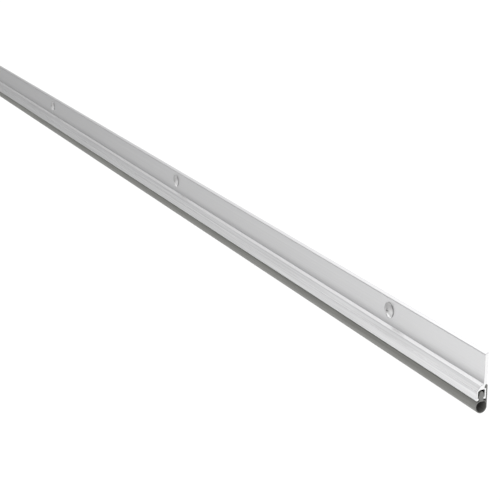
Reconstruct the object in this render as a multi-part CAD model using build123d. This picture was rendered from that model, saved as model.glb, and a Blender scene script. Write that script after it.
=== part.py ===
from build123d import *
import math
import os

# One leaf of a split astragal: a long aluminium retainer strip that is screwed
# to the meeting edge of a door, with a hollow rubber bulb seal held in a
# channel along its lower edge, and a row of low-headed screws in its flange.
#
# Frame, in millimetres: X runs along the strip, Y points to the back (the side
# that lies on the door), Z is up. The origin is the middle of the screw hole
# pattern, on the back face of the flange: X = 0 is mid length, Y = 0 is the
# back face and Z = 0 is the line of the holes.

# ---------------------------------------------------------------- sizes
LENGTH = 2133.6            # strip length, 84 in
HEIGHT = 33.40             # bulb bottom to flange top, about 1 5/16 in
HOLE_BELOW_TOP = 8.55      # hole line below the flange top
HOLE_COUNT = 7
HOLE_PITCH = 323.85        # 12 3/4 in
HOLE_D = 5.0               # plain through hole, clear of the screw

# section heights z and depths y below are measured from the bulb's lowest
# point and from a line a little behind the middle of the channel
BACK_Y = 3.00              # flange back face
FLANGE_T = 1.90            # flange thickness
FRONT_Y = BACK_Y - FLANGE_T         # flange front face
TOP_SLOPE = (1.34, 32.42)  # lower end of the forward slope along the top edge
FRONT_TOP_Z = 31.92        # top of the flange's front face
CREASE = (0.93, 16.08)     # foot of the flange's front face
LEDGE = (-0.92, 15.21)     # nose of the sloping ledge under the flange
ROOF_TOP = (-1.10, 14.90)  # the roof starts just under the nose
ROOF_FOOT = (-2.72, 12.84)
SHOULDER = (-3.02, 12.66)  # small shoulder between the roof and the channel's front
CHANNEL_FRONT_Y = -3.10
CHANNEL_TOP_Z = 12.38      # top of the channel's front face
WALL_BOTTOM_Z = 7.12       # underside of the channel's front wall
LIP_FRONT_Y, LIP_FRONT_LOW_Z, LIP_FRONT_TOP_Z = -1.65, 7.60, 8.45     # front retaining lip
LIP_BACK_Y, LIP_BACK_LOW_Z, LIP_BACK_TOP_Z = 1.15, 7.75, 9.05         # back retaining lip
CAV_FRONT_Y, CAV_BACK_Y = -2.30, 1.75       # the channel's inner faces
CAV_TOP_Z = 13.00
CHANNEL_BACK_Y = 2.65      # channel back face
NOTCH_Y, NOTCH_Z = 1.65, 13.75      # root of the notch in the back
NOTCH_LOW_Z = 13.62
NOTCH_TOP_Z = 15.80        # where the notch leaves the flange back face

BULB_FRONT_Y, BULB_BACK_Y, BULB_TOP_Z = -3.55, 3.35, 6.95   # bulb, outside
BULB_LOW_R, BULB_FRONT_R, BULB_BACK_R = 3.44, 2.90, 2.20    # its lower, upper front and upper back rounding
BULB_WALL = 0.42
STEM_FRONT_Y, STEM_BACK_Y = -1.22, 1.07     # dart stem, clear of the lips
BARB_FRONT_Y, BARB_BACK_Y = -2.05, 1.68     # dart barbs
HEAD_TOP_Z = 12.10
LEAF_T = 0.65              # thin leaf behind the channel
LEAF_Y = BULB_BACK_Y       # leaf outer face, flush with the bulb's back

HEAD_D = 9.2               # screw head, low and domed
HEAD_SIDE = 0.45           # height of the head's upright side
HEAD_H = 1.65              # height of the head at its middle
SHANK_D = 4.2              # thread, outside, from the flange's back face on
NECK_D = 3.8               # plain neck inside the flange
SHANK_LEN = 9.5            # under the head, point included
POINT_LEN = 2.6
RECESS_W, RECESS_L = 0.75, 3.80     # cross recess: wing thickness and span
RECESS_DEPTH = 1.10

Y0 = BACK_Y                            # part frame offset
Z0 = HEIGHT - HOLE_BELOW_TOP


def outline(points):
    """Closed outline through (y, z, corner radius), as a face in the YZ plane."""
    n = len(points)
    starts, ends, mids = [], [], []
    for i in range(n):
        y, z, r = points[i]
        py, pz, _ = points[i - 1]
        ny, nz, _ = points[(i + 1) % n]
        a = (py - y, pz - z)
        b = (ny - y, nz - z)
        la, lb = math.hypot(*a), math.hypot(*b)
        a = (a[0] / la, a[1] / la)
        b = (b[0] / lb, b[1] / lb)
        half = math.acos(max(-1.0, min(1.0, a[0] * b[0] + a[1] * b[1]))) / 2
        cut = r / math.tan(half)
        bis = (a[0] + b[0], a[1] + b[1])
        lbis = math.hypot(*bis)
        bis = (bis[0] / lbis, bis[1] / lbis)
        starts.append((y + a[0] * cut, z + a[1] * cut))
        ends.append((y + b[0] * cut, z + b[1] * cut))
        reach = r / math.sin(half) - r
        mids.append((y + bis[0] * reach, z + bis[1] * reach))

    def at(p):
        return Vector(0, p[0] - Y0, p[1] - Z0)

    edges = []
    for i in range(n):
        edges.append(ThreePointArc(at(starts[i]), at(mids[i]), at(ends[i])))
        edges.append(Line(at(ends[i]), at(starts[(i + 1) % n])))
    return Face(Wire([e for e in edges]))


def along(face):
    """The section as a solid over the whole length, centred on X = 0."""
    body = extrude(face, amount=LENGTH, dir=(1, 0, 0))
    return Pos(-LENGTH / 2, 0, 0) * body


# ---------------------------------------------------------------- aluminium retainer
retainer_section = outline([
    (BACK_Y, HEIGHT, 0.15),
    (*TOP_SLOPE, 0.12),
    (FRONT_Y, FRONT_TOP_Z, 0.12),
    (FRONT_Y, 19.80, 6.00),                # the front face leans forward a little towards its foot
    (1.06, 18.00, 6.00),
    (1.00, 17.00, 3.00),
    (*CREASE, 0.55),
    (*LEDGE, 0.45),
    (*ROOF_TOP, 0.30),
    (*ROOF_FOOT, 0.12),
    (*SHOULDER, 0.08),
    (CHANNEL_FRONT_Y, CHANNEL_TOP_Z, 0.18),
    (CHANNEL_FRONT_Y, WALL_BOTTOM_Z, 0.20),
    (-2.40, WALL_BOTTOM_Z, 0.20),
    (LIP_FRONT_Y, LIP_FRONT_LOW_Z, 0.15),
    (LIP_FRONT_Y, LIP_FRONT_TOP_Z, 0.20),
    (CAV_FRONT_Y, LIP_FRONT_TOP_Z, 0.10),
    (CAV_FRONT_Y, 12.20, 0.30),
    (-0.95, CAV_TOP_Z, 0.40),
    (CAV_BACK_Y, CAV_TOP_Z, 0.50),
    (CAV_BACK_Y, LIP_BACK_TOP_Z, 0.10),
    (LIP_BACK_Y, LIP_BACK_TOP_Z, 0.20),
    (LIP_BACK_Y, LIP_BACK_LOW_Z, 0.20),
    (CHANNEL_BACK_Y, LIP_BACK_LOW_Z, 0.25),
    (CHANNEL_BACK_Y, NOTCH_LOW_Z, 0.12),
    (NOTCH_Y, NOTCH_Z, 0.12),
    (1.82, 15.05, 0.30),
    (2.25, 15.60, 0.15),
    (BACK_Y, NOTCH_TOP_Z, 0.10),
])
retainer = along(retainer_section)

# plain screw holes in the flange, axis along Y
over = 0.5                                   # the tool runs this far past the faces
front = -FLANGE_T


def screw_x(i):
    return (i - (HOLE_COUNT - 1) / 2) * HOLE_PITCH


for i in range(HOLE_COUNT):
    retainer = retainer - Plane((screw_x(i), front - over, 0), x_dir=(1, 0, 0), z_dir=(0, 1, 0)) * Cylinder(
        HOLE_D / 2, FLANGE_T + 2 * over, align=(Align.CENTER, Align.CENTER, Align.MIN))

# ---------------------------------------------------------------- screws
# profile in a plane through the axis: u is the radius, v runs along the screw from the underside of the head
dome_rise = HEAD_H - HEAD_SIDE
dome_r = ((HEAD_D / 2) ** 2 + dome_rise ** 2) / (2 * dome_rise)
mid_a = math.asin(HEAD_D / 2 / dome_r) / 2
profile = Face(Wire([
    Line((0, -HEAD_H), (0, SHANK_LEN)),
    Line((0, SHANK_LEN), (0.25, SHANK_LEN)),
    Line((0.25, SHANK_LEN), (SHANK_D / 2, SHANK_LEN - POINT_LEN)),
    Line((SHANK_D / 2, SHANK_LEN - POINT_LEN), (SHANK_D / 2, FLANGE_T)),
    Line((SHANK_D / 2, FLANGE_T), (NECK_D / 2, FLANGE_T)),
    Line((NECK_D / 2, FLANGE_T), (NECK_D / 2, 0)),
    Line((NECK_D / 2, 0), (HEAD_D / 2, 0)),
    Line((HEAD_D / 2, 0), (HEAD_D / 2, -HEAD_SIDE)),
    ThreePointArc((HEAD_D / 2, -HEAD_SIDE),
                  (dome_r * math.sin(mid_a), -HEAD_H + dome_r * (1 - math.cos(mid_a))),
                  (0, -HEAD_H)),
]))
one_screw = revolve(profile, axis=Axis.Y, revolution_arc=360)
for w, l in ((RECESS_W, RECESS_L), (RECESS_L, RECESS_W)):
    mouth = Plane((0, -HEAD_H - 0.10, 0), x_dir=(1, 0, 0), z_dir=(0, 1, 0)) * Rectangle(w, l)
    foot = Plane((0, -HEAD_H + RECESS_DEPTH, 0), x_dir=(1, 0, 0), z_dir=(0, 1, 0)) * Rectangle(w * 0.45, l * 0.45)
    one_screw = one_screw - loft([mouth, foot])
screws = Compound([Pos(screw_x(i), front, 0) * one_screw for i in range(HOLE_COUNT)])

# ---------------------------------------------------------------- rubber bulb seal
def bulb_face(d):
    """The bulb's section, moved inward by d: round below, fuller above where it meets the channel."""
    return outline([
        (BULB_FRONT_Y + d, d, BULB_LOW_R - d),
        (BULB_BACK_Y - d, d, BULB_LOW_R - d),
        (BULB_BACK_Y - d, BULB_TOP_Z - d, BULB_BACK_R - d),
        (BULB_FRONT_Y + d, BULB_TOP_Z - d, BULB_FRONT_R - d),
    ])


bulb = along(bulb_face(0.0))
bore = along(bulb_face(BULB_WALL))

# dart: stem through the slot, barbs bearing on the lips, rounded head
root_z = BULB_TOP_Z - BULB_WALL * 0.7        # dart starts inside the bulb's wall
dart = along(outline([
    (STEM_FRONT_Y, root_z, 0.01),
    (STEM_BACK_Y, root_z, 0.01),
    (STEM_BACK_Y, LIP_BACK_TOP_Z, 0.10),
    (BARB_BACK_Y, LIP_BACK_TOP_Z, 0.12),
    (BARB_BACK_Y, LIP_BACK_TOP_Z + 0.75, 0.25),
    (1.00, 11.00, 0.60),
    (1.00, HEAD_TOP_Z, 0.95),
    (-1.30, HEAD_TOP_Z, 1.05),
    (-1.30, 10.30, 0.60),
    (BARB_FRONT_Y, LIP_FRONT_TOP_Z + 0.60, 0.25),
    (BARB_FRONT_Y, LIP_FRONT_TOP_Z, 0.12),
    (STEM_FRONT_Y, LIP_FRONT_TOP_Z, 0.10),
]))

# leaf up the back of the channel, with a bead that fills the notch
leaf_in = LEAF_Y - LEAF_T
arc_y, arc_z = BULB_BACK_Y - BULB_BACK_R, BULB_TOP_Z - BULB_BACK_R
leaf_root_z = arc_z + math.sqrt(BULB_BACK_R ** 2 - (leaf_in - arc_y) ** 2)
leaf = along(outline([
    (leaf_in, leaf_root_z - 0.20, 0.01),
    (LEAF_Y, arc_z, 0.01),
    (LEAF_Y, 15.25, 0.25),
    (2.86, 15.66, 0.10),
    (2.33, 15.50, 0.12),
    (1.94, 15.02, 0.25),
    (NOTCH_Y + 0.11, 13.84, 0.10),
    (leaf_in, 13.66, 0.05),
]))
seal = bulb + dart + leaf - bore

# ---------------------------------------------------------------- write
os.makedirs("parts", exist_ok=True)
retainer.label = "aluminium_retainer"
seal.label = "rubber_bulb_seal"
screws.label = "pan_head_screws"
export_step(retainer, "parts/aluminium_retainer.step")
export_step(seal, "parts/rubber_bulb_seal.step")
export_step(screws, "parts/pan_head_screws.step")
print("retainer", round(retainer.volume), "mm3", retainer.bounding_box())
print("seal", round(seal.volume), "mm3", seal.bounding_box(), "solids", len(seal.solids()))
print("screws", round(screws.volume), "mm3", screws.bounding_box(), "solids", len(screws.solids()))
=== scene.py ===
import bpy
import bmesh
import math
import random
from mathutils import Matrix, Vector


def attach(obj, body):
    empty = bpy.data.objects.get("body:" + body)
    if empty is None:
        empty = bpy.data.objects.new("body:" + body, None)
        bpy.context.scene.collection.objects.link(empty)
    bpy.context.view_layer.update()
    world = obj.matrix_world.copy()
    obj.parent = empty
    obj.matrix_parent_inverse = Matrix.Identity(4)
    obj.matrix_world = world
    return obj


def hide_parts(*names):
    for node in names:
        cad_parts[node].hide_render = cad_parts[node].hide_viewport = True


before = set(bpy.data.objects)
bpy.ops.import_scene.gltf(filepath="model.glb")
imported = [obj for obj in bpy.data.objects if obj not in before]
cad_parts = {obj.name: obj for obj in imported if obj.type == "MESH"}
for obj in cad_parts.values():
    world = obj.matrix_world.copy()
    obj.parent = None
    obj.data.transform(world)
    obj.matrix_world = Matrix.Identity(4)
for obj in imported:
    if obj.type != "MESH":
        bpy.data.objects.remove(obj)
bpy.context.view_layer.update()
MM = 0.001

# ---------------------------------------------------------------- sizes, mm
LENGTH = 2133.6
HEIGHT = 33.40
BACK_Y = 3.00
FLANGE_T = 1.90
HOLE_Z = HEIGHT - 8.55
HOLE_PITCH = 323.85
HOLE_D = 5.0
HEAD_D, HEAD_SIDE, HEAD_H = 9.2, 0.45, 1.65
SHANK_D, NECK_D, SHANK_LEN, POINT_LEN = 4.2, 3.8, 9.5, 2.6
RECESS_W, RECESS_L, RECESS_DEPTH = 0.75, 3.80, 1.10
BULB_F, BULB_B, BULB_TOP = -3.55, 3.35, 6.95       # bulb: front, back and top
BULB_LOW_R, BULB_FRONT_R, BULB_BACK_R = 3.44, 2.90, 2.20
BULB_WALL = 0.42
LIP_TOP_Z, LIP_BACK_TOP_Z = 8.45, 9.05
LEAF_T = 0.65
LEAF_Y = BULB_B
XE = LENGTH / 2


def part(y, z):
    """Section coordinates (from the bulb's foot) to the part's Y and Z."""
    return y - BACK_Y, z - HOLE_Z


# ---------------------------------------------------------------- camera
def make_camera():
    yaw, pitch, roll = math.radians(65.101), math.radians(17.750), math.radians(-0.495)
    f = Vector((-math.sin(yaw) * math.cos(pitch), math.cos(yaw) * math.cos(pitch), -math.sin(pitch)))
    r = Vector((math.cos(yaw), math.sin(yaw), 0.0))
    u = r.cross(f)
    r2 = math.cos(roll) * r + math.sin(roll) * u
    u2 = -math.sin(roll) * r + math.cos(roll) * u
    data = bpy.data.cameras.new("camera")
    data.sensor_width = 36.0
    data.lens = 1344.0 * 36.0 / 500.0
    data.clip_start, data.clip_end = 0.01, 100.0
    cam = bpy.data.objects.new("camera", data)
    bpy.context.scene.collection.objects.link(cam)
    y, z = part(-374.25, 292.35)
    m = Matrix((r2, u2, -f)).transposed().to_4x4()
    m.translation = Vector((XE + 525.25, y, z)) * MM
    cam.matrix_world = m
    bpy.context.scene.camera = cam


make_camera()


# ---------------------------------------------------------------- mesh helpers
def rounded(points, step=9.0):
    """Closed (y, z) outline through corners (y, z, radius), arcs every few degrees.
    Returns the points and, for each, the number of the straight run that it starts (or None in an arc)."""
    out, runs = [], []
    n = len(points)
    for i in range(n):
        y, z, r = points[i]
        a = Vector((points[i - 1][0] - y, points[i - 1][1] - z)).normalized()
        b = Vector((points[(i + 1) % n][0] - y, points[(i + 1) % n][1] - z)).normalized()
        half = math.acos(max(-1.0, min(1.0, a.dot(b)))) / 2
        if r <= 0.011:
            out.append((y, z)); runs.append(i)
            continue
        c = Vector((y, z)) + (a + b).normalized() * (r / math.sin(half))
        p0 = Vector((y, z)) + a * (r / math.tan(half))
        p1 = Vector((y, z)) + b * (r / math.tan(half))
        a0 = math.atan2(p0.y - c.y, p0.x - c.x)
        a1 = math.atan2(p1.y - c.y, p1.x - c.x)
        d = (a1 - a0 + math.pi) % (2 * math.pi) - math.pi
        k = max(2, int(math.ceil(abs(math.degrees(d)) / step)))
        for j in range(k + 1):
            t = a0 + d * j / k
            out.append((c.x + r * math.cos(t), c.y + r * math.sin(t)))
            runs.append(i if j == k else None)
    return out, runs


def die_lines(pts, runs, depth, pitch, seed, skip=()):
    """Extrusion die lines: each straight run is divided and its new points sink a few
    micrometres into the metal, by a different amount for each line."""
    rng = random.Random(seed)
    n = len(pts)
    area = sum(pts[i][0] * pts[(i + 1) % n][1] - pts[(i + 1) % n][0] * pts[i][1] for i in range(n))
    sign = 1.0 if area > 0 else -1.0
    out = []
    for i in range(n):
        out.append(pts[i])
        if runs[i] is None or runs[i] in skip:
            continue
        a, b = Vector(pts[i]), Vector(pts[(i + 1) % n])
        d = b - a
        if d.length < 1.0:
            continue
        inward = Vector((-d.y, d.x)).normalized() * sign
        k = int(d.length / pitch)
        for j in range(1, k):
            t = (j + rng.uniform(-0.25, 0.25)) / k
            p = a.lerp(b, t) + inward * depth * rng.random() ** 1.5
            out.append((p.x, p.y))
    return out


def inset(loop, d):
    """The outline moved inward by d, point by point."""
    n = len(loop)
    area = sum(loop[i][0] * loop[(i + 1) % n][1] - loop[(i + 1) % n][0] * loop[i][1] for i in range(n))
    sign = 1.0 if area > 0 else -1.0
    out = []
    for i in range(n):
        a = (Vector(loop[i]) - Vector(loop[i - 1])).normalized()
        b = (Vector(loop[(i + 1) % n]) - Vector(loop[i])).normalized()
        m = Vector((-a.y - b.y, a.x + b.x)).normalized() * sign
        out.append((loop[i][0] + m.x * d, loop[i][1] + m.y * d))
    return out


def extruded(name, outline, x0, x1, holes=(), stations=None, chamfer=None):
    """A prism along X of a (y, z) outline with inner outlines, section numbers in mm."""
    bm = bmesh.new()
    xs = stations or [x0, x1]
    loops = [outline, *holes]
    sections = [(x, loops) for x in xs]
    if chamfer:
        small = [inset(outline, chamfer)]
        sections = ([(xs[0], small), (xs[0] + chamfer, loops)] + sections[1:-1]
                    + [(xs[-1] - chamfer, loops), (xs[-1], small)])
    rings = []
    for x, lps in sections:
        rings.append([[bm.verts.new((x * MM, part(y, z)[0] * MM, part(y, z)[1] * MM)) for y, z in lp] for lp in lps])
    for a, b in zip(rings, rings[1:]):
        for la, lb in zip(a, b):
            n = len(la)
            for i in range(n):
                bm.faces.new((la[i], la[(i + 1) % n], lb[(i + 1) % n], lb[i]))
    for ring in (rings[0], rings[-1]):
        edges = []
        for lp in ring:
            n = len(lp)
            for i in range(n):
                e = bm.edges.get((lp[i], lp[(i + 1) % n]))
                edges.append(e)
        bmesh.ops.triangle_fill(bm, use_beauty=True, use_dissolve=False, edges=edges)
    bmesh.ops.recalc_face_normals(bm, faces=bm.faces)
    me = bpy.data.meshes.new(name)
    bm.to_mesh(me)
    bm.free()
    o = bpy.data.objects.new(name, me)
    bpy.context.scene.collection.objects.link(o)
    return o


def lathe_y(bm, x, z, prof, n=96):
    """Closed solid of revolution about an axis along Y through (x, z); prof is (radius, y)."""
    rings = []
    for r, y in prof:
        rings.append([bm.verts.new(((x + r * math.cos(2 * math.pi * i / n)) * MM, y * MM,
                                    (z + r * math.sin(2 * math.pi * i / n)) * MM)) for i in range(n)])
    for a, b in zip(rings, rings[1:]):
        for i in range(n):
            bm.faces.new((a[i], a[(i + 1) % n], b[(i + 1) % n], b[i]))
    bm.faces.new(rings[0])
    bm.faces.new(rings[-1])


def finish_mesh(o, angle=28.0, weighted=True):
    """Smooth faces with sharp edges by angle; normals weighted by face area so flats stay flat."""
    me = o.data
    bm = bmesh.new()
    bm.from_mesh(me)
    bmesh.ops.remove_doubles(bm, verts=bm.verts, dist=1e-7)
    bmesh.ops.dissolve_degenerate(bm, edges=bm.edges, dist=1e-7)
    lim = math.radians(angle)
    for e in bm.edges:
        e.smooth = len(e.link_faces) == 2 and e.calc_face_angle(0.0) < lim
    for f in bm.faces:
        f.smooth = True
    bm.to_mesh(me)
    bm.free()
    if weighted:
        m = o.modifiers.new("normals", "WEIGHTED_NORMAL")
        m.mode = "FACE_AREA"
        m.weight = 80
        m.keep_sharp = True
    dg = bpy.context.evaluated_depsgraph_get()
    new = bpy.data.meshes.new_from_object(o.evaluated_get(dg))
    o.modifiers.clear()
    old = o.data
    o.data = new
    bpy.data.meshes.remove(old)
    return o


def boolean(o, cutter, op="DIFFERENCE"):
    m = o.modifiers.new("cut", "BOOLEAN")
    m.object = cutter
    m.operation = op
    m.solver = "EXACT"
    dg = bpy.context.evaluated_depsgraph_get()
    new = bpy.data.meshes.new_from_object(o.evaluated_get(dg))
    o.modifiers.clear()
    old = o.data
    o.data = new
    bpy.data.meshes.remove(old)
    bpy.data.objects.remove(cutter)


def run_uv(o):
    """A UV map whose U runs across the section and V along the strip, for the metal's grain."""
    me = o.data
    uv = me.uv_layers.new(name="run")
    for p in me.polygons:
        n = p.normal
        across = Vector((0.0, -n.z, n.y))
        for li in p.loop_indices:
            c = me.vertices[me.loops[li].vertex_index].co
            uv.data[li].uv = (c.dot(across), c.x)


# ---------------------------------------------------------------- materials
def node_mat(name):
    m = bpy.data.materials.new(name)
    m.use_nodes = True
    nt = m.node_tree
    for n in list(nt.nodes):
        nt.nodes.remove(n)
    out = nt.nodes.new("ShaderNodeOutputMaterial")
    b = nt.nodes.new("ShaderNodeBsdfPrincipled")
    nt.links.new(b.outputs[0], out.inputs[0])
    return m, nt, b


def noise(nt, scale, detail=3.0, vec=None, rough=0.6):
    n = nt.nodes.new("ShaderNodeTexNoise")
    n.inputs["Scale"].default_value = scale
    n.inputs["Detail"].default_value = detail
    n.inputs["Roughness"].default_value = rough
    if vec is not None:
        nt.links.new(vec, n.inputs["Vector"])
    return n


def mapped(nt, scale):
    tc = nt.nodes.new("ShaderNodeTexCoord")
    mp = nt.nodes.new("ShaderNodeMapping")
    mp.inputs["Scale"].default_value = scale
    nt.links.new(tc.outputs["Object"], mp.inputs["Vector"])
    return mp.outputs["Vector"]


def ramp(nt, fac, stops):
    r = nt.nodes.new("ShaderNodeValToRGB")
    el = r.color_ramp.elements
    while len(el) < len(stops):
        el.new(0.5)
    for e, (p, c) in zip(el, stops):
        e.position = p
        e.color = (c[0], c[1], c[2], 1.0) if isinstance(c, tuple) else (c, c, c, 1.0)
    nt.links.new(fac, r.inputs["Fac"])
    return r.outputs["Color"]


def maprange(nt, val, a, b, c, d):
    m = nt.nodes.new("ShaderNodeMapRange")
    m.inputs["From Min"].default_value = a
    m.inputs["From Max"].default_value = b
    m.inputs["To Min"].default_value = c
    m.inputs["To Max"].default_value = d
    nt.links.new(val, m.inputs["Value"])
    return m.outputs["Result"]


def mix_color(nt, fac, a, b, mode="MIX", amount=None):
    m = nt.nodes.new("ShaderNodeMix")
    m.data_type = "RGBA"
    m.blend_type = mode
    if amount is not None:
        m.inputs[0].default_value = amount
    else:
        nt.links.new(fac, m.inputs[0])
    for sock, v in ((m.inputs[6], a), (m.inputs[7], b)):
        if isinstance(v, tuple):
            sock.default_value = (*v, 1.0)
        else:
            nt.links.new(v, sock)
    return m.outputs[2]


def bump(nt, height, strength, distance, normal=None):
    b = nt.nodes.new("ShaderNodeBump")
    b.inputs["Strength"].default_value = strength
    b.inputs["Distance"].default_value = distance
    nt.links.new(height, b.inputs["Height"])
    if normal is not None:
        nt.links.new(normal, b.inputs["Normal"])
    return b.outputs["Normal"]


ALU = 0.62


def streaked(nt, col, size, amount, mask=None):
    """The colour made lighter and darker by streaks along X; the mask, if any, says how much."""
    lines = noise(nt, 1.0, 1.0, mapped(nt, size))
    k = maprange(nt, lines.outputs["Fac"], 0.3, 0.7, -amount, amount)
    if mask is not None:
        m = nt.nodes.new("ShaderNodeMath")
        m.operation = "MULTIPLY"
        nt.links.new(k, m.inputs[0])
        nt.links.new(mask, m.inputs[1])
        k = m.outputs[0]
    one = nt.nodes.new("ShaderNodeMath")
    one.operation = "ADD"
    nt.links.new(k, one.inputs[0])
    one.inputs[1].default_value = 1.0
    v = nt.nodes.new("ShaderNodeVectorMath")
    v.operation = "SCALE"
    nt.links.new(col, v.inputs[0])
    nt.links.new(one.outputs[0], v.inputs["Scale"])
    return v.outputs[0]


def aluminium():
    """Mill finish extruded aluminium: satin, with fine streaks along X and faint handling marks."""
    m, nt, b = node_mat("aluminium_mill")
    b.inputs["Metallic"].default_value = 1.0
    streak = noise(nt, 1.0, 4.0, mapped(nt, (3.0, 2600.0, 2600.0)))
    fine = noise(nt, 1.0, 2.0, mapped(nt, (14.0, 9000.0, 9000.0)))
    cloud = noise(nt, 38.0, 3.0, mapped(nt, (0.35, 1.0, 1.0)))
    col = ramp(nt, streak.outputs["Fac"], [(0.25, (ALU * 0.93, ALU * 0.93, ALU * 0.935)),
                                           (0.75, (ALU * 1.05, ALU * 1.05, ALU * 1.06))])
    # the roof and the channel's front carry coarser streaks than the flange
    place = nt.nodes.new("ShaderNodeTexCoord")
    xyz = nt.nodes.new("ShaderNodeSeparateXYZ")
    nt.links.new(place.outputs["Object"], xyz.inputs[0])
    low = maprange(nt, xyz.outputs["Z"], -0.0100, -0.0098, 1.0, 0.0)
    nt.links.new(streaked(nt, col, (10.0, 1800.0, 1800.0), 0.13, low), b.inputs["Base Color"])
    nt.links.new(maprange(nt, cloud.outputs["Fac"], 0.3, 0.7, 0.32, 0.36), b.inputs["Roughness"])
    b.inputs["Anisotropic"].default_value = 0.7
    tn = nt.nodes.new("ShaderNodeTangent")
    tn.direction_type = "UV_MAP"
    tn.uv_map = "run"
    nt.links.new(tn.outputs[0], b.inputs["Tangent"])
    n1 = bump(nt, streak.outputs["Fac"], 0.10, 0.00004)
    n2 = bump(nt, fine.outputs["Fac"], 0.08, 0.00002, n1)
    nt.links.new(n2, b.inputs["Normal"])
    return m


def cut_aluminium():
    """Saw-cut end of the extrusion: brighter, with the saw's fine arcs."""
    m, nt, b = node_mat("aluminium_sawn")
    b.inputs["Metallic"].default_value = 1.0
    saw = nt.nodes.new("ShaderNodeTexWave")
    saw.wave_type = "RINGS"
    saw.rings_direction = "X"
    saw.inputs["Scale"].default_value = 320.0
    saw.inputs["Distortion"].default_value = 2.0
    saw.inputs["Detail"].default_value = 3.0
    nt.links.new(mapped(nt, (1.0, 1.0, 1.0)), saw.inputs["Vector"])
    grain = noise(nt, 2600.0, 3.0, mapped(nt, (1.0, 1.0, 1.0)))
    col = ramp(nt, grain.outputs["Fac"], [(0.3, (0.80, 0.80, 0.80)), (0.7, (0.90, 0.90, 0.90))])
    nt.links.new(col, b.inputs["Base Color"])
    b.inputs["Roughness"].default_value = 0.5
    n1 = bump(nt, saw.outputs["Fac"], 0.25, 0.00003)
    nt.links.new(bump(nt, grain.outputs["Fac"], 0.2, 0.00003, n1), b.inputs["Normal"])
    return m


def rubber():
    """Dark grey extruded rubber, matt with a slight bloom."""
    m, nt, b = node_mat("rubber_grey")
    cloud = noise(nt, 120.0, 4.0, mapped(nt, (0.25, 1.0, 1.0)))
    grain = noise(nt, 5200.0, 2.0, mapped(nt, (0.6, 1.0, 1.0)))
    lines = noise(nt, 1.0, 3.0, mapped(nt, (5.0, 2200.0, 2200.0)))
    col = ramp(nt, cloud.outputs["Fac"], [(0.3, (0.144, 0.144, 0.134)), (0.7, (0.171, 0.171, 0.159))])
    nt.links.new(streaked(nt, col, (14.0, 1600.0, 1600.0), 0.12), b.inputs["Base Color"])
    nt.links.new(maprange(nt, cloud.outputs["Fac"], 0.3, 0.7, 0.52, 0.64), b.inputs["Roughness"])
    b.inputs["Specular IOR Level"].default_value = 0.5
    n1 = bump(nt, lines.outputs["Fac"], 0.15, 0.00004)
    nt.links.new(bump(nt, grain.outputs["Fac"], 0.25, 0.00003, n1), b.inputs["Normal"])
    return m


def cut_rubber():
    m, nt, b = node_mat("rubber_cut")
    grain = noise(nt, 3800.0, 4.0, mapped(nt, (1.0, 1.0, 1.0)))
    col = ramp(nt, grain.outputs["Fac"], [(0.3, (0.150, 0.150, 0.145)), (0.7, (0.215, 0.215, 0.207))])
    nt.links.new(col, b.inputs["Base Color"])
    b.inputs["Roughness"].default_value = 0.7
    nt.links.new(bump(nt, grain.outputs["Fac"], 0.4, 0.00005), b.inputs["Normal"])
    return m


def screw_steel():
    m, nt, b = node_mat("screw_zinc")
    b.inputs["Metallic"].default_value = 0.45
    b.inputs["Base Color"].default_value = (0.465, 0.465, 0.465, 1.0)
    b.inputs["Roughness"].default_value = 0.28
    grain = noise(nt, 1800.0, 3.0, mapped(nt, (1.0, 1.0, 1.0)))
    nt.links.new(bump(nt, grain.outputs["Fac"], 0.10, 0.00002), b.inputs["Normal"])
    return m


M_ALU, M_CUT, M_RUB, M_RUBCUT, M_SCREW = aluminium(), cut_aluminium(), rubber(), cut_rubber(), screw_steel()

# ---------------------------------------------------------------- aluminium retainer
RETAINER = [
    (BACK_Y, HEIGHT, 0.15), (1.34, 32.42, 0.12), (1.10, 31.92, 0.12), (1.10, 19.80, 6.0), (1.06, 18.00, 6.0),
    (1.00, 17.00, 3.0), (0.93, 16.08, 0.55), (-0.92, 15.21, 0.45), (-1.10, 14.90, 0.30), (-2.72, 12.84, 0.12),
    (-3.02, 12.66, 0.08), (-3.10, 12.38, 0.18), (-3.10, 12.27, 0.0), (-3.055, 12.12, 0.0), (-3.10, 11.97, 0.0),
    (-3.10, 7.12, 0.20),
    (-2.40, 7.12, 0.20), (-1.65, 7.60, 0.15), (-1.65, LIP_TOP_Z, 0.20), (-2.30, LIP_TOP_Z, 0.10),
    (-2.30, 12.20, 0.30), (-0.95, 13.00, 0.40), (1.75, 13.00, 0.50), (1.75, LIP_BACK_TOP_Z, 0.10),
    (1.15, LIP_BACK_TOP_Z, 0.20), (1.15, 7.75, 0.20), (2.65, 7.75, 0.25), (2.65, 13.62, 0.12), (1.65, 13.75, 0.12),
    (1.82, 15.05, 0.30), (2.25, 15.60, 0.15), (BACK_Y, 15.80, 0.10),
]
pts, runs = rounded(RETAINER)
# lines on the roof and the channel's front (runs 8 and 14), and its back (26)
keep_flat = [i for i in range(len(RETAINER)) if i not in (8, 14, 26)]
pts = die_lines(pts, runs, 0.016, 0.30, 5, skip=keep_flat)
stations = [-XE]
for i in range(7):
    stations += [(i - 3) * HOLE_PITCH - 9.0, (i - 3) * HOLE_PITCH + 9.0]
retainer = extruded("retainer_strip", pts, -XE, XE, stations=stations + [XE], chamfer=0.12)

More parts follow.
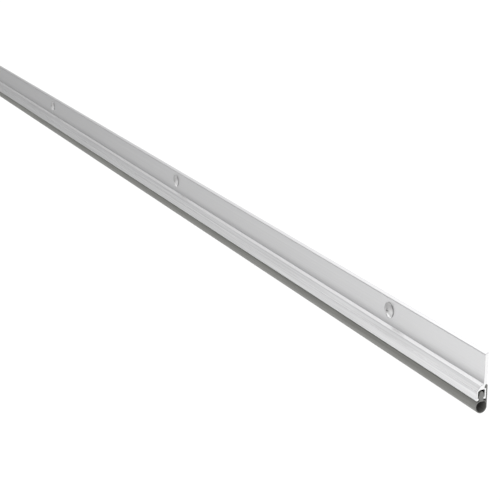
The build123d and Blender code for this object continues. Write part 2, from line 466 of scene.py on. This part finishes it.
bm = bmesh.new()
for i in range(7):
    r = HOLE_D / 2
    lathe_y(bm, (i - 3) * HOLE_PITCH, 0.0, [
        (r + 0.46, -FLANGE_T - 0.4), (r + 0.06, -FLANGE_T), (r, -FLANGE_T + 0.06), (r, -0.06), (r + 0.06, 0.0), (r + 0.36, 0.3)])
bmesh.ops.recalc_face_normals(bm, faces=bm.faces)
me = bpy.data.meshes.new("cutter")
bm.to_mesh(me)
bm.free()
cutter = bpy.data.objects.new("cutter", me)
bpy.context.scene.collection.objects.link(cutter)
boolean(retainer, cutter)
finish_mesh(retainer)
run_uv(retainer)
retainer.data.materials.clear()
for m in (M_ALU, M_CUT):
    retainer.data.materials.append(m)
for p in retainer.data.polygons:
    p.material_index = 1 if abs(p.normal.x) > 0.99 and abs(abs(p.center.x) - XE * MM) < 1e-6 else 0
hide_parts("aluminium_retainer")
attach(retainer, "root")

# ---------------------------------------------------------------- screws
def screw_mesh(x):
    """Low domed head with a cross recess, neck, threaded shank and point, about the axis Y at x (mm)."""
    front = -FLANGE_T
    rise = HEAD_H - HEAD_SIDE
    big = ((HEAD_D / 2) ** 2 + rise ** 2) / (2 * rise)
    prof = [(0.02, front - HEAD_H)]
    a_max = math.asin((HEAD_D / 2 - 0.10) / big)
    for i in range(1, 15):
        a = a_max * i / 14
        prof.append((big * math.sin(a), front - HEAD_H + big * (1 - math.cos(a))))
    r = HEAD_D / 2
    y0 = prof[-1][1]
    for i in range(1, 5):                       # rounded edge of the dome
        a = math.radians(90 * i / 4)
        prof.append((r - 0.10 + 0.10 * math.sin(a), y0 + 0.14 * (1 - math.cos(a))))
    prof += [(r, front - 0.05), (r - 0.05, front), (NECK_D / 2, front), (NECK_D / 2, -0.10)]
    bm = bmesh.new()
    lathe_y(bm, x, 0.0, prof, 72)
    head = new_object("head", bm)
    for w, l in ((RECESS_W, RECESS_L), (RECESS_L, RECESS_W)):
        bm = bmesh.new()
        rings = []
        for y, k in ((front - HEAD_H - 0.10, 1.0), (front - HEAD_H + RECESS_DEPTH, 0.45)):
            c, s = math.cos(TURN[x]), math.sin(TURN[x])
            rings.append([bm.verts.new(((x + c * u * w / 2 * k - s * v * l / 2 * k) * MM, y * MM,
                                        (s * u * w / 2 * k + c * v * l / 2 * k) * MM))
                          for u, v in ((-1, -1), (1, -1), (1, 1), (-1, 1))])
        bm.faces.new(rings[0])
        bm.faces.new(rings[1])
        for i in range(4):
            bm.faces.new((rings[0][i], rings[0][(i + 1) % 4], rings[1][(i + 1) % 4], rings[1][i]))
        bmesh.ops.recalc_face_normals(bm, faces=bm.faces)
        boolean(head, new_object("recess", bm))
    # thread: rings of a helix from the neck to the point
    bm = bmesh.new()
    n, pitch = 32, 1.41
    y_end = SHANK_LEN - FLANGE_T
    rings = []
    core = SHANK_D / 2 - 0.42
    levels = 6
    total = int(y_end / pitch * levels)
    for q in range(total + 1):
        y = y_end * q / total
        ring = []
        for i in range(n):
            a = 2 * math.pi * i / n
            ph = (y / pitch - i / n) % 1.0
            tooth = max(0.0, 1.0 - abs(ph - 0.5) / 0.24)
            r = core + (SHANK_D / 2 - core) * tooth
            tip = max(0.0, (y - (y_end - POINT_LEN)) / POINT_LEN)
            r = r * (1.0 - tip) + 0.22 * tip
            if y < 0.35:
                r = min(r, NECK_D / 2 - 0.02)
            ring.append(bm.verts.new(((x + r * math.cos(a)) * MM, y * MM, r * math.sin(a) * MM)))
        rings.append(ring)
    for a, b in zip(rings, rings[1:]):
        for i in range(n):
            bm.faces.new((a[i], a[(i + 1) % n], b[(i + 1) % n], b[i]))
    bm.faces.new(rings[0])
    bm.faces.new(rings[-1])
    return head, new_object("shank", bm)


def new_object(name, bm):
    bmesh.ops.recalc_face_normals(bm, faces=bm.faces)
    me = bpy.data.meshes.new(name)
    bm.to_mesh(me)
    bm.free()
    o = bpy.data.objects.new(name, me)
    bpy.context.scene.collection.objects.link(o)
    return o


TURN = {(i - 3) * HOLE_PITCH: math.radians(a) for i, a in enumerate((12, 31, 0, 22, 40, 8, 0))}
bm = bmesh.new()
for x in TURN:
    for o in screw_mesh(x):
        bm.from_mesh(o.data)
        old = o.data
        bpy.data.objects.remove(o)
        bpy.data.meshes.remove(old)
screws = new_object("screws", bm)
finish_mesh(screws, angle=32.0)
screws.data.materials.clear()
screws.data.materials.append(M_SCREW)
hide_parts("pan_head_screws")
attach(screws, "root")

# ---------------------------------------------------------------- rubber seal
def arc(cy, cz, r, a0, a1, n):
    return [(cy + r * math.cos(math.radians(a0 + (a1 - a0) * i / n)),
             cz + r * math.sin(math.radians(a0 + (a1 - a0) * i / n))) for i in range(n + 1)]


def bulb_top(y):
    """Height of the bulb's upper side at y."""
    for cy, r, side in ((BULB_B - BULB_BACK_R, BULB_BACK_R, 1.0), (BULB_F + BULB_FRONT_R, BULB_FRONT_R, -1.0)):
        if (y - cy) * side > 0.0:
            return BULB_TOP - r + math.sqrt(r * r - (y - cy) ** 2)
    return BULB_TOP


STEM_F, STEM_B = -1.22, 1.07
BARB_F, BARB_B = -2.05, 1.68
leaf_in = LEAF_Y - LEAF_T
# one outline: up the leaf, round its bead, down to the bulb, up and round the dart, and round the bulb
chain = [(LEAF_Y, BULB_LOW_R + 0.1, 0.01), (LEAF_Y, 15.25, 0.25), (2.86, 15.66, 0.10), (2.33, 15.50, 0.12),
         (1.94, 15.02, 0.25), (1.76, 13.84, 0.10), (leaf_in, 13.66, 0.05)]
for i in range(7):
    y = leaf_in + (STEM_B - leaf_in) * i / 6
    chain.append((y, bulb_top(y), 0.01))
chain += [
    (STEM_B, LIP_BACK_TOP_Z, 0.10), (BARB_B, LIP_BACK_TOP_Z, 0.12), (BARB_B, LIP_BACK_TOP_Z + 0.75, 0.25),
    (1.00, 11.00, 0.60), (1.00, 12.10, 0.95), (-1.30, 12.10, 1.05), (-1.30, 10.30, 0.60),
    (BARB_F, LIP_TOP_Z + 0.60, 0.25), (BARB_F, LIP_TOP_Z, 0.12), (STEM_F, LIP_TOP_Z, 0.10),
]
a = math.degrees(math.acos((STEM_F - BULB_F - BULB_FRONT_R) / BULB_FRONT_R))
for q in (arc(BULB_F + BULB_FRONT_R, BULB_TOP - BULB_FRONT_R, BULB_FRONT_R, a, 180.0, 16),
          arc(BULB_F + BULB_LOW_R, BULB_LOW_R, BULB_LOW_R, 180.0, 270.0, 20),
          arc(BULB_B - BULB_LOW_R, BULB_LOW_R, BULB_LOW_R, 270.0, 360.0, 20)):
    chain += [(y, z, 0.01) for y, z in q]
seal_pts, _ = rounded(chain)
w = BULB_WALL
bore, _ = rounded([(BULB_F + w, w, BULB_LOW_R - w), (BULB_B - w, w, BULB_LOW_R - w),
                   (BULB_B - w, BULB_TOP - w, BULB_BACK_R - w), (BULB_F + w, BULB_TOP - w, BULB_FRONT_R - w)], step=5.0)
seal = extruded("bulb_seal", seal_pts, -XE, XE, holes=[bore])
finish_mesh(seal, angle=30.0)
seal.data.materials.clear()
for m in (M_RUB, M_RUBCUT):
    seal.data.materials.append(m)
for p in seal.data.polygons:
    p.material_index = 1 if abs(p.normal.x) > 0.99 and abs(abs(p.center.x) - XE * MM) < 1e-6 else 0
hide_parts("rubber_bulb_seal")
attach(seal, "root")

# ---------------------------------------------------------------- stage and light
FLOOR_Z = -0.45
me = bpy.data.meshes.new("floor")
me.from_pydata([(-20, -20, FLOOR_Z), (20, -20, FLOOR_Z), (20, 20, FLOOR_Z), (-20, 20, FLOOR_Z)], [], [(0, 1, 2, 3)])
floor = bpy.data.objects.new("floor", me)
bpy.context.scene.collection.objects.link(floor)
fm, nt, b = node_mat("floor_pale")
b.inputs["Base Color"].default_value = (0.90, 0.90, 0.90, 1.0)
b.inputs["Roughness"].default_value = 0.95
b.inputs["Specular IOR Level"].default_value = 0.1
floor.data.materials.append(fm)

# The studio is a set of large soft lights all round, far away. Each is a direction (degrees round from -X towards
# -Y, degrees up), a tightness and a strength. Matt surfaces see an even white room.
ROOM = 1.20
SOFT_LIGHTS = [
    (0, -80, 7, 2.200), (-20, -50, 12, 0.300), (20, -50, 12, 0.700), (-10, -28, 22, 0.300),
    (5, -28, 22, 0.801), (20, -28, 22, 0.427), (35, -28, 22, 0.323), (35, -12, 22, 0.083),
    (50, -12, 22, 0.016), (50, 4, 22, 0.322), (20, 20, 22, 0.249), (42, 20, 22, 0.359),
    (-15, 40, 12, 0.335), (15, 40, 12, 0.599), (45, 40, 12, 0.209), (-30, 65, 7, 1.933),
    (30, 65, 7, 0.953), (0, 89, 7, 0.741), (215, -22, 10, 1.727), (149, -20, 10, 1.600),
    (75, -22, 14, 1.800), (28, -41, 80, 3.000), (110, -15, 8, 0.900),
    (180, 38, 8, 0.600), (160, 12, 10, 0.300), (-92, -15, 5, 0.450), (-116, -15, 12, 0.200), (-68, -15, 9, 0.200),
]
floor.visible_glossy = False


def make_world():
    w = bpy.data.worlds.new("studio")
    bpy.context.scene.world = w
    w.use_nodes = True
    w.cycles.sampling_method = "NONE"
    nt = w.node_tree
    for n in list(nt.nodes):
        nt.nodes.remove(n)
    out = nt.nodes.new("ShaderNodeOutputWorld")
    bg = nt.nodes.new("ShaderNodeBackground")
    nt.links.new(bg.outputs[0], out.inputs[0])
    tc = nt.nodes.new("ShaderNodeTexCoord")
    total = None
    for az, el, k, amp in SOFT_LIGHTS:
        a, e = math.radians(az), math.radians(el)
        d = nt.nodes.new("ShaderNodeVectorMath")
        d.operation = "DOT_PRODUCT"
        nt.links.new(tc.outputs["Generated"], d.inputs[0])
        d.inputs[1].default_value = (-k * math.cos(a) * math.cos(e), -k * math.sin(a) * math.cos(e), k * math.sin(e))
        s = nt.nodes.new("ShaderNodeMath")
        s.operation = "SUBTRACT"
        nt.links.new(d.outputs["Value"], s.inputs[0])
        s.inputs[1].default_value = k
        x = nt.nodes.new("ShaderNodeMath")
        x.operation = "EXPONENT"
        nt.links.new(s.outputs[0], x.inputs[0])
        m = nt.nodes.new("ShaderNodeMath")
        m.operation = "MULTIPLY_ADD"
        nt.links.new(x.outputs[0], m.inputs[0])
        m.inputs[1].default_value = amp
        m.inputs[2].default_value = 0.0
        if total is not None:
            nt.links.new(total, m.inputs[2])
        total = m.outputs[0]
    lp = nt.nodes.new("ShaderNodeLightPath")
    mix = nt.nodes.new("ShaderNodeMix")
    mix.data_type = "FLOAT"
    nt.links.new(lp.outputs["Is Glossy Ray"], mix.inputs[0])
    mix.inputs[2].default_value = ROOM
    nt.links.new(total, mix.inputs[3])
    bg.inputs[0].default_value = (1.0, 1.0, 1.0, 1.0)
    nt.links.new(mix.outputs[0], bg.inputs[1])


make_world()

bpy.context.scene.view_settings.view_transform = "Standard"
bpy.context.scene.view_settings.look = "None"
